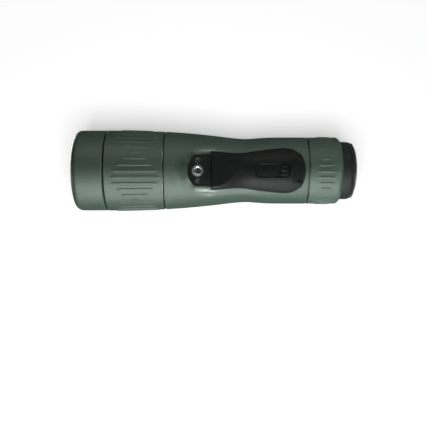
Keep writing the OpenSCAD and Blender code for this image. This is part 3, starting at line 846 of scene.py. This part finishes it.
# ------------------------------------------------------------------ foot plate and bush
def build_foot():
    edge_r = 0.75
    levels = [(4.0, 0.0), (edge_r, 0.0)]
    for k in range(1, 7):
        q = k / 6 * math.pi / 2
        levels.append((edge_r - edge_r * math.sin(q), edge_r * (1 - math.cos(q))))
    outline = fillet([(*FOOT[0], 0.9)] + FOOT[1:-1] + [(*FOOT[-1], 0.9)], seg=6)
    plate = make("foot_pad", *prism_z(lambda amount: inset(outline, amount), levels),
                 "foot_black", "chassis", "foot_plate", slot="black_plastic", sharp=30)
    # (x, radius, chamfer)
    holes = ((0, 5.42, 0.3), (-PIN_X, 1.97, 0.22), (PIN_X, 1.97, 0.22))
    bores = [round_cutter(x, 0, r, 64, [(-1, 0), (5.0, 0)]) for x, r, _ in holes]
    chamfers = [round_cutter(x, 0, r, 64, [(-0.2, -chamfer - 0.2), (chamfer, 0)])
                for x, r, chamfer in holes]
    cut(plate, bores + chamfers)


def build_collar():
    """Armour drawn up to the back of the foot plate, flaring out at its root."""
    rear = FOOT_REAR - 0.2
    corners = fillet(FOOT[1:-1] + [(FOOT_HALF_W, rear, 0.5), (-FOOT_HALF_W, rear, 0.5)], seg=4)
    outline = []
    # short steps, so that the finish can fade along the sides
    for a, b in zip(corners, corners[1:] + corners[:1]):
        m = max(1, int(math.hypot(b[0] - a[0], b[1] - a[1]) / 0.8))
        outline += [(a[0] + (b[0] - a[0]) * i / m, a[1] + (b[1] - a[1]) * i / m)
                    for i in range(m)]
    # (z, inset)
    levels = [(3.9, 0.25), (5.6, 0.2), (7.2, 0.05), (8.4, -0.2), (9.3, -0.5), (10.0, -0.85),
              (10.6, -1.3), (11.1, -1.85), (11.6, -2.6), (12.2, -3.6)]
    collar = make("armour_collar", *prism_z(lambda amount: inset(outline, amount), levels),
                  "armour", "chassis", sharp=40)
    paint_polish(collar, lambda x, y, z: (
        0.3 * smooth_step(-3.0, 3.0, y) - 0.5 * (1 - smooth_step(-9.5, 2.5, y))))


def tripod_thread(r, z, turn):
    """Cuts a spiral ridge into the rows of the bore."""
    pitch, depth = 1.27, 0.42
    if not (0.5 < z < 8.5 and r < 3.3):
        return r
    phase = (z / pitch - turn) % 1.0
    return r - depth * (1 - abs(2 * phase - 1))


def build_bush():
    """Threaded bush in its flange, the plug above it and the liners of the pin holes."""
    bore_r = 3.175
    bore = [(bore_r, z) for z in np.arange(8.4, 0.55, -0.16)]
    turned_z("thread_bush", [(4.35, 10.0), (bore_r, 10.0)] + bore + [
        (3.2, 0.5), (3.75, 0.04), (4.3, 0.04), (4.4, 0.16), (4.4, 2.0)],
        "steel", replaces="tripod_bush", thread=tripod_thread, sharp=24)
    turned_z("bush_flange", [
        (4.41, 0.38), (4.55, 0.46), (4.75, 0.46), (4.85, 0.38), (4.85, 0.2), (4.95, 0.1),
        (5.25, 0.12), (5.4, 0.3), (5.4, 2.0), (4.41, 2.0)],
        "dark_steel", slot="steel", sharp=24)
    turned_z("bush_plug", [(0.02, 8.9), (3.1, 7.4), (3.1, 9.9), (0.02, 9.9)],
             "black_metal", n=48, sharp=30)
    for i, x in enumerate((-PIN_X, PIN_X)):
        turned_z(f"locating_liner_{i}",
                 [(1.5, 3.4), (1.5, 0.75), (1.85, 0.3), (1.95, 0.3), (1.95, 3.4)],
                 "steel", cx=x, n=48, sharp=30)


build_foot()
build_collar()
build_bush()


# ------------------------------------------------------------------ battery lid
def lid_depth(x, y):
    """Depth of the lid's crown, with a slightly soft crease at the edge of the flat."""
    y = np.clip(y, LID_CROWN[0][0], LID_REAR)
    cross_r = spline(LID_CROSS_R, y)
    depth = spline(LID_CROWN, y) - cross_r + chord(cross_r, x)
    crease = 0.35
    return -crease * np.log(np.exp(-depth / crease + FLAT_DEPTH / crease) + 1.0) + FLAT_DEPTH


def lid_surface(x, y):
    """Outer depth with rolled edges, recesses and the thumb scoop."""
    inside = np.maximum(-polygon_distance(x, y, LID), 0)
    edge_r = 1.1
    depth = lid_depth(x, y) - edge_r * roll_off(inside, edge_r, fullness=0.9995)
    # finger recess running on into the slider's channel
    recess = np.minimum(slot_distance(x, y, 55.2, 80.0, 6.2, 3.2),
                        slot_distance(x, y, 74.0, 86.6, 6.0, 1.0))
    depth = depth - (1.1 + 0.4 * smooth_step(70.0, 73.6, y)) * smooth_step(0.35, -0.4, recess)
    slot = slot_distance(x, y, 75.9, 84.1, 2.6, 0.4)
    depth = depth - 0.3 * smooth_step(0.15, -0.25, slot)
    # thumb scoop at the rear edge
    scoop = smooth_step(11.8, 8.4, np.abs(x)) * smooth_step(87.0, 99.5, y)
    depth = depth - 1.3 * scoop * smooth_step(0.0, 1.5, inside + 0.4)
    return np.maximum(depth, chord(body_radius(y), x) + 0.4)     # stays clear of the tube


def build_lid():
    rows = np.unique(np.round(np.concatenate([
        LID_FRONT + 2.6 * (1 - np.cos(np.linspace(0, math.pi / 2, 10))),
        np.linspace(15.1, 54, 66), np.linspace(54, 88, 92), np.linspace(88, 97, 24),
        97 + 5.2 * np.sin(np.linspace(0, math.pi / 2, 22))]), 4))
    rows[-1] = LID_REAR
    across = np.concatenate([                              # fractions of the half width
        np.linspace(0, 0.42, 30), np.linspace(0.42, 0.86, 26)[1:],
        0.86 + 0.14 * np.sin(np.linspace(0, math.pi / 2, 14))[1:]])
    across = np.concatenate([-across[::-1][:-1], across])
    half_w = lid_edge(rows)

    def grid(widths, ys):
        return across[None, :] * widths[:, None], np.repeat(ys[:, None], len(across), 1)

    x, y = grid(half_w, rows)
    depth = lid_surface(x, y)
    under_x, under_y = grid(np.maximum(half_w - 1.8, 0.3), np.clip(rows, 14.4, 100.6))
    under = lid_depth(under_x, under_y) - 2.0

    nr, nc = x.shape
    off = nr * nc
    faces = []
    for r in range(nr - 1):
        for c in range(nc - 1):
            a = r * nc + c
            faces.append((a, a + 1, a + nc + 1, a + nc))
            faces.append((off + a, off + a + nc, off + a + nc + 1, off + a + 1))
    loop = ([(0, c) for c in range(nc)] + [(r, nc - 1) for r in range(1, nr)]
            + [(nr - 1, c) for c in range(nc - 2, -1, -1)]
            + [(r, 0) for r in range(nr - 2, 0, -1)])
    # skirt: from the outer edge up to the armour, across, and back down inside
    outer_skirt, inner_skirt = [], []
    for at in loop:
        edge_x, edge_y = x[at], y[at]
        least = 36.0 if edge_y < 15.6 else 0.0
        if abs(edge_x) > 13 and edge_y < 32:
            rise = 38.3 - math.sqrt(4.84 + 4.4 * max(edge_y - 15.2, 0.0))
            least = max(least, rise)
        for skirt, px, py, limit in ((outer_skirt, edge_x, edge_y, depth[at]),
                                     (inner_skirt, under_x[at], under_y[at], under[at])):
            low = max(chord(body_radius(py), px) + 0.3, least)
            skirt.append((px, py, AXIS - min(low, limit - 0.15)))
    n = len(loop)
    outer0, inner0 = 2 * off, 2 * off + n
    for i in range(n):
        j = (i + 1) % n
        a, b = (loop[k][0] * nc + loop[k][1] for k in (i, j))
        faces.append((a, b, outer0 + j, outer0 + i))
        faces.append((outer0 + i, outer0 + j, inner0 + j, inner0 + i))
        faces.append((inner0 + i, inner0 + j, off + b, off + a))
    verts = np.concatenate([
        np.stack([x, y, AXIS - depth], -1).reshape(-1, 3),
        np.stack([under_x, under_y, AXIS - under], -1).reshape(-1, 3),
        outer_skirt, inner_skirt])
    make("lid_cover", verts, faces, "lid_black", "lid", "battery_lid", slot="black_plastic",
         sharp=40)


def build_slider():
    """Small thumb pad with three ribs."""
    half_w, y0, y1 = 5.55, 78.1, 86.3
    x, y = np.meshgrid(np.linspace(-half_w, half_w, 75), np.linspace(y0, y1, 48))
    top = lid_depth(x, y)
    inside = -slot_distance(x, y, y0, y1, half_w, 1.2)
    depth = top - 0.35 - 0.8 * roll_off(np.maximum(inside, 0), 0.8)
    depth = depth - 0.35 * smooth_step(0.2, -0.3, slot_distance(x, y, 79.0, 84.9, 4.9, 0.6))
    for rib_x in (-3.5, 0.55, 4.4):
        rib = slot_distance(x - rib_x, y, 79.2, 84.6, 0.62, 0.6)
        depth = depth + 0.75 * smooth_step(0.35, -0.35, rib)
    outer = np.stack([x, y, AXIS - depth], -1)
    inner = np.stack([x, y, AXIS - (top - 1.1)], -1)
    kept = inside > -0.25
    active = kept[:-1, :-1] & kept[1:, 1:] & kept[1:, :-1] & kept[:-1, 1:]
    make("thumb_slider", *shell(outer, inner, active), "lid_black", "latch", "latch_slider",
         slot="black_plastic", sharp=35)


# latch tongue blocks: (half width, upper depth, lower depth, y0, y1)
TONGUE = ((2.5, 31.6, 34.9, 80.0, 84.0), (4.5, 31.4, 32.9, 79.0, 88.9),
          (2.2, 28.6, 32.9, 87.4, 89.0), (2.2, 28.6, 30.1, 87.5, 95.0))


def build_tongue():
    """Stem and tongue above the slider."""
    bevel, corner = 0.18, 0.4
    verts, faces = [], []
    for half_w, upper, lower, y0, y1 in TONGUE:
        outline = fillet([(-half_w, y0, corner), (half_w, y0, corner), (half_w, y1, corner),
                          (-half_w, y1, corner)], seg=3)
        block, block_faces = prism_z(lambda amount: inset(outline, amount), [
            (AXIS - upper, bevel), (AXIS - upper - bevel, 0), (AXIS - lower + bevel, 0),
            (AXIS - lower, bevel)])
        faces += [tuple(i + len(verts) for i in face) for face in block_faces]
        verts += block
    make("latch_tongue", verts, faces, "steel", "latch")


build_lid()
build_slider()
build_tongue()


# ------------------------------------------------------------------ eyecup
def build_cup():
    front, rear = CUP_FRONT - 0.3, CUP_REAR + 0.6
    root_r, seat_r = 27.2, 20.0
    revolve("cup_pad", fillet(
        [(root_r, front, 0), (CUP_R - 0.1, front, 0.4), (CUP_R, CUP_FRONT + 0.8, 0.8)]
        + quarter_ellipse(CUP_R, rear, dr=7.4, dy=-8.0, n=16)
        + [(19.8, rear, 0.8), (18.4, CUP_REAR - 1.6, 0.8), (18.2, CUP_REAR - 2.5, 0),
           (seat_r, CUP_REAR - 2.5, 0), (seat_r, CUP_REAR - 1.7, 0),
           (root_r, CUP_REAR - 1.7, 0)], seg=9),
        224, "cup_rubber", "eyecup_rubber", body="eyecup", sharp=30)


build_cup()


# ------------------------------------------------------------------ keys on top
def build_escutcheon():
    """Long round-ended pad that follows the tube below and is level above."""
    y0, y1, radius = 42.5, 58.5, 8.5
    top, edge = 33.1, 0.6                  # height above the axis, edge radius
    slot = [(radius * math.cos(t), end + radius * math.sin(t))
            for end, start in ((y1, 0), (y0, math.pi))
            for t in np.linspace(start, start + math.pi, 28)]
    outline = inset(slot, 0)
    n = len(slot)
    verts = [(x, y, AXIS + chord(body_radius(y), x) - 2.2) for x, y in outline]
    for q in np.linspace(0, math.pi / 2, 9):
        z = AXIS + top - edge + edge * math.sin(q)
        verts += [(x, y, z) for x, y in inset(slot, edge * (1 - math.cos(q)))]
    cx = sum(p[0] for p in outline) / n
    cy = sum(p[1] for p in outline) / n
    for f in (0.8, 0.6, 0.4, 0.2):
        verts += [(cx + (x - cx) * f, cy + (y - cy) * f, AXIS + top)
                  for x, y in inset(slot, edge)]
    rings = len(verts) // n
    last = (rings - 1) * n
    verts.append((cx, cy, AXIS + top))
    faces = band_faces(n, rings)
    faces += [(last + i, last + (i + 1) % n, rings * n) for i in range(n)]
    faces.append(tuple(reversed(range(n))))
    panel = make("key_escutcheon", verts, faces, "black_plastic", "chassis", "button_panel",
                 sharp=30)
    cutters = []
    for y, r in (MEASURE_KEY, MODE_KEY):
        cutters.append(round_cutter(0, y, r, 72, [(AXIS + 20, 0), (AXIS + 40, 0)]))
        cutters.append(round_cutter(0, y, r, 72, [(AXIS + 32.7, 0), (AXIS + 33.4, -0.7)]))
    cut(panel, cutters)


def build_key(name, place, top, **options):
    """Shallow-dished cap on a narrower stem; heights are above the axis."""
    y, radius = place
    low, shoulder = 28.4, 30.8
    stem_r, cap_r = radius - 1.2, radius - 0.08
    profile = fillet([
        (0.02, low, 0), (stem_r, low, 0), (stem_r, shoulder, 0), (cap_r, shoulder, 0),
        (cap_r, top - 0.1, 0.9), (radius * 0.45, top - 0.25, 1.5), (0.02, top - 0.45, 0)])
    turned_z(name, [(r, AXIS + z) for r, z in profile], cy=y, n=72, **options)


build_escutcheon()
build_key("measure_key_cap", MEASURE_KEY, 33.9, material="key_red", body="measure_key",
          replaces="measure_button")
build_key("mode_key_cap", MODE_KEY, 34.3, material="cup_rubber", body="mode_key",
          replaces="mode_button", slot="black_plastic")


# ------------------------------------------------------------------ stage
def stage_material(name, colour, facing, steep, glow):
    """Seen from one side only (facing +1 from above, -1 from below).

    Only rays with a vertical part above steep meet it; others pass through.
    """
    material, tree = new_material(name)
    geometry = add(tree, "ShaderNodeNewGeometry")
    diffuse = add(tree, "ShaderNodeBsdfDiffuse", Color=(*colour, 1))
    emission = add(tree, "ShaderNodeEmission", Strength=glow, Color=(1, 1, 1, 1))
    lit = add(tree, "ShaderNodeAddShader", diffuse.outputs[0], emission.outputs[0])
    clear = add(tree, "ShaderNodeBsdfTransparent")
    incoming = add(tree, "ShaderNodeSeparateXYZ", geometry.outputs["Incoming"])
    rise = calc(tree, "MULTIPLY", incoming.outputs["Z"], facing)
    seen = calc(tree, "GREATER_THAN", rise, steep)
    set_surface(tree, add(tree, "ShaderNodeMixShader", seen, clear.outputs[0], lit.outputs[0]))
    return material


def stage_plane(name, z, size, material, up=True):
    mesh = bpy.data.meshes.new(name)
    s = size / 2
    corners = [(-s, -s, z), (s, -s, z), (s, s, z), (-s, s, z)]
    mesh.from_pydata(corners, [], [(0, 1, 2, 3) if up else (3, 2, 1, 0)])
    obj = bpy.data.objects.new(name, mesh)
    bpy.context.scene.collection.objects.link(obj)
    mesh.materials.append(material)
    obj.visible_diffuse = obj.visible_glossy = False
    obj.visible_transmission = obj.visible_shadow = False
    return obj


def floor_material():
    """Grows as bright as the room far out, so that no edge shows."""
    material = stage_material("floor_pale", (0.80, 0.80, 0.79), facing=1.0, steep=0.0005,
                              glow=0.25)
    tree = material.node_tree
    position = add(tree, "ShaderNodeNewGeometry").outputs["Position"]
    distance = add(tree, "ShaderNodeVectorMath", position, operation="LENGTH").outputs["Value"]
    put(tree, tree.nodes["Emission"].inputs["Strength"],
        remap(tree, distance, source=(0.45, 2.2), to=(0.25, 0.95)))
    return material


floor = stage_plane("floor", -0.0006, 30.0, floor_material())
backdrop = stage_plane("backdrop", 0.0815, 6.0, stage_material(
    "backdrop_pale", (0.78, 0.78, 0.78), facing=-1.0, steep=0.6, glow=0.44), up=False)


def build_world():
    """White to the camera, dim as a light, dimmer still in mirror reflections."""
    world = bpy.data.worlds.new("studio")
    bpy.context.scene.world = world
    world.use_nodes = True
    tree = world.node_tree
    background = tree.nodes["Background"]
    background.inputs["Color"].default_value = (1.0, 1.0, 1.0, 1)
    path = add(tree, "ShaderNodeLightPath")
    seen = remap(tree, path.outputs["Is Camera Ray"], source=(0, 1), to=(0.09, 1.0))
    mirrored = remap(tree, path.outputs["Is Glossy Ray"], source=(0, 1), to=(1.0, 0.7))
    put(tree, background.inputs["Strength"], calc(tree, "MULTIPLY", seen, mirrored))


build_world()
bpy.context.scene.view_settings.view_transform = "Standard"
bpy.context.scene.view_settings.look = "None"

# ------------------------------------------------------------------ lights
CENTRE = (0, 0.015, 0.041)                 # point on the optical axis, in metres
TOP_TARGET = (0, 0.02, 0.03)
BOX_GAIN, WASH_GAIN, TOP_GAIN = 1.18, 0.88, 1.3      # factors on the power of each group


def area(name, place, rotation, size, power, length=None):
    light = bpy.data.lights.new(name, "AREA")
    light.shape = "RECTANGLE" if length else "SQUARE"
    light.size = size
    if length:
        light.size_y = length
    light.energy = power
    light.spread = math.pi
    obj = bpy.data.objects.new(name, light)
    bpy.context.scene.collection.objects.link(obj)
    obj.location = place
    obj.rotation_euler = rotation
    obj.visible_camera = False
    return obj


def aimed(name, place, target, size, power):
    """Square light that faces target."""
    direction = Vector(target) - Vector(place)
    return area(name, place, direction.to_track_quat("-Z", "Y").to_euler(), size, power)


def polar(degrees, distance, y=CENTRE[1]):
    """Place about the axis: angle from straight down towards -X."""
    a = math.radians(degrees)
    return (-distance * math.sin(a), y, CENTRE[2] - distance * math.cos(a))


def strip(name, degrees, width, length, power, y):
    """Soft box one metre from the axis, its long side parallel to it."""
    z_axis = (Vector(polar(degrees, 1.0)) - Vector(CENTRE)).normalized()
    y_axis = Vector((0, 1, 0))
    x_axis = y_axis.cross(z_axis).normalized()
    rotation = Matrix((x_axis, y_axis, z_axis)).transposed().to_euler()
    return area(name, polar(degrees, 1.0, y), rotation, width, power, length)


def link_light(light, objects, exclude=False):
    """Light falls on objects alone, or on everything but objects."""
    group = bpy.data.collections.new(light.name + "_set")
    for obj in objects:
        group.objects.link(obj)
    light.light_linking.receiver_collection = group
    if exclude:
        for entry in group.collection_objects:
            entry.light_linking.link_state = "EXCLUDE"


# what the surface mirrors: (degrees, width, power)
BOXES = ((45, 0.176, 2.15), (55, 0.176, 5.05), (80, 0.35, 3.3), (28, 0.2, 2.3),
         (12, 0.2, 0.9), (-35, 0.2, 0.5), (-55, 0.176, 1.3), (-75, 0.176, 0.3))
# what lights it evenly: (degrees, width, power, y)
WASHES = ((0, 0.5, 35.0, 1.15), (75, 0.3, 17.5, 0.06), (-92, 0.3, 3.7, 0.06))
# for views from above: (name, place, size, power)
OVERHEAD = (("over", (-0.18, -0.15, 1.5), 0.9, 22),
            ("side_over", (0.34, -0.3, 1.3), 0.35, 9),
            ("back_over", (-0.1, 0.75, 1.2), 0.5, 7))
# mirrored in the top of the tube, out of sight of its outline from below:
# (direction from the centre, size, power)
SKIES = (((-0.22, 0.66, 0.72), 0.55, 9.0), ((0.22, -0.66, 0.72), 0.55, 9.0),
         ((-0.17, -0.95, 0.22), 0.3, 2.0))
SKY_DISTANCE = 1.3


def build_lights():
    strips = []
    for k, (degrees, width, power) in enumerate(BOXES):
        box = strip(f"box_{k}", degrees, width, 0.9, power * BOX_GAIN, y=-0.08)
        box.data.color = (0.92, 1.0, 0.965)
        box.visible_diffuse = False
        strips.append(box)
    for k, (degrees, width, power, y) in enumerate(WASHES):
        wash = strip(f"wash_{k}", degrees, width, 0.8, power * WASH_GAIN, y=y)
        wash.visible_glossy = False
        strips.append(wash)
    shade = aimed("shade_low", polar(15.5, 1.3), CENTRE, size=0.8, power=14.0)
    for name, place, size, power in OVERHEAD:
        aimed(name, place, TOP_TARGET, size, power * TOP_GAIN).visible_glossy = False

    link_light(shade, [backdrop])
    # the strips nearest straight down are for the round armour; the flat black pieces
    # face them squarely and are left out
    flat = [bpy.data.objects[name] for name in ("foot_pad", "lid_cover", "thumb_slider")]
    for light in strips:
        spared = flat if light.name in ("box_3", "box_4", "box_5") else []
        link_light(light, [floor, backdrop] + spared, exclude=True)
    for k, (direction, size, power) in enumerate(SKIES):
        place = tuple(a + SKY_DISTANCE * b for a, b in zip(CENTRE, direction))
        sky = aimed(f"sky_{k}", place, CENTRE, size, power * TOP_GAIN)
        sky.visible_diffuse = False
        if k == 0:
            link_light(sky, [bpy.data.objects["zoom_grip"], backdrop, floor], exclude=True)


build_lights()


# ------------------------------------------------------------------ camera
def build_camera():
    """Looks up from below, tilted a little about the optical axis; +Y is to its right."""
    distance, view_width = 637, 427        # mm; the view is this wide at the optical axis
    data = bpy.data.cameras.new("camera")
    data.sensor_width = 36
    data.lens = data.sensor_width * distance / view_width
    data.clip_start, data.clip_end = 0.01, 50
    camera = bpy.data.objects.new("camera", data)
    bpy.context.scene.collection.objects.link(camera)
    tilt = math.radians(3.875)
    rotation = Matrix((
        (0, 1, 0),
        (math.cos(tilt), 0, math.sin(tilt)),
        (math.sin(tilt), 0, -math.cos(tilt)))).transposed()
    place = (0.00033, 0.0149, (AXIS - distance) * MM)
    camera.matrix_world = Matrix.Translation(place) @ rotation.to_4x4()
    bpy.context.scene.camera = camera


build_camera()
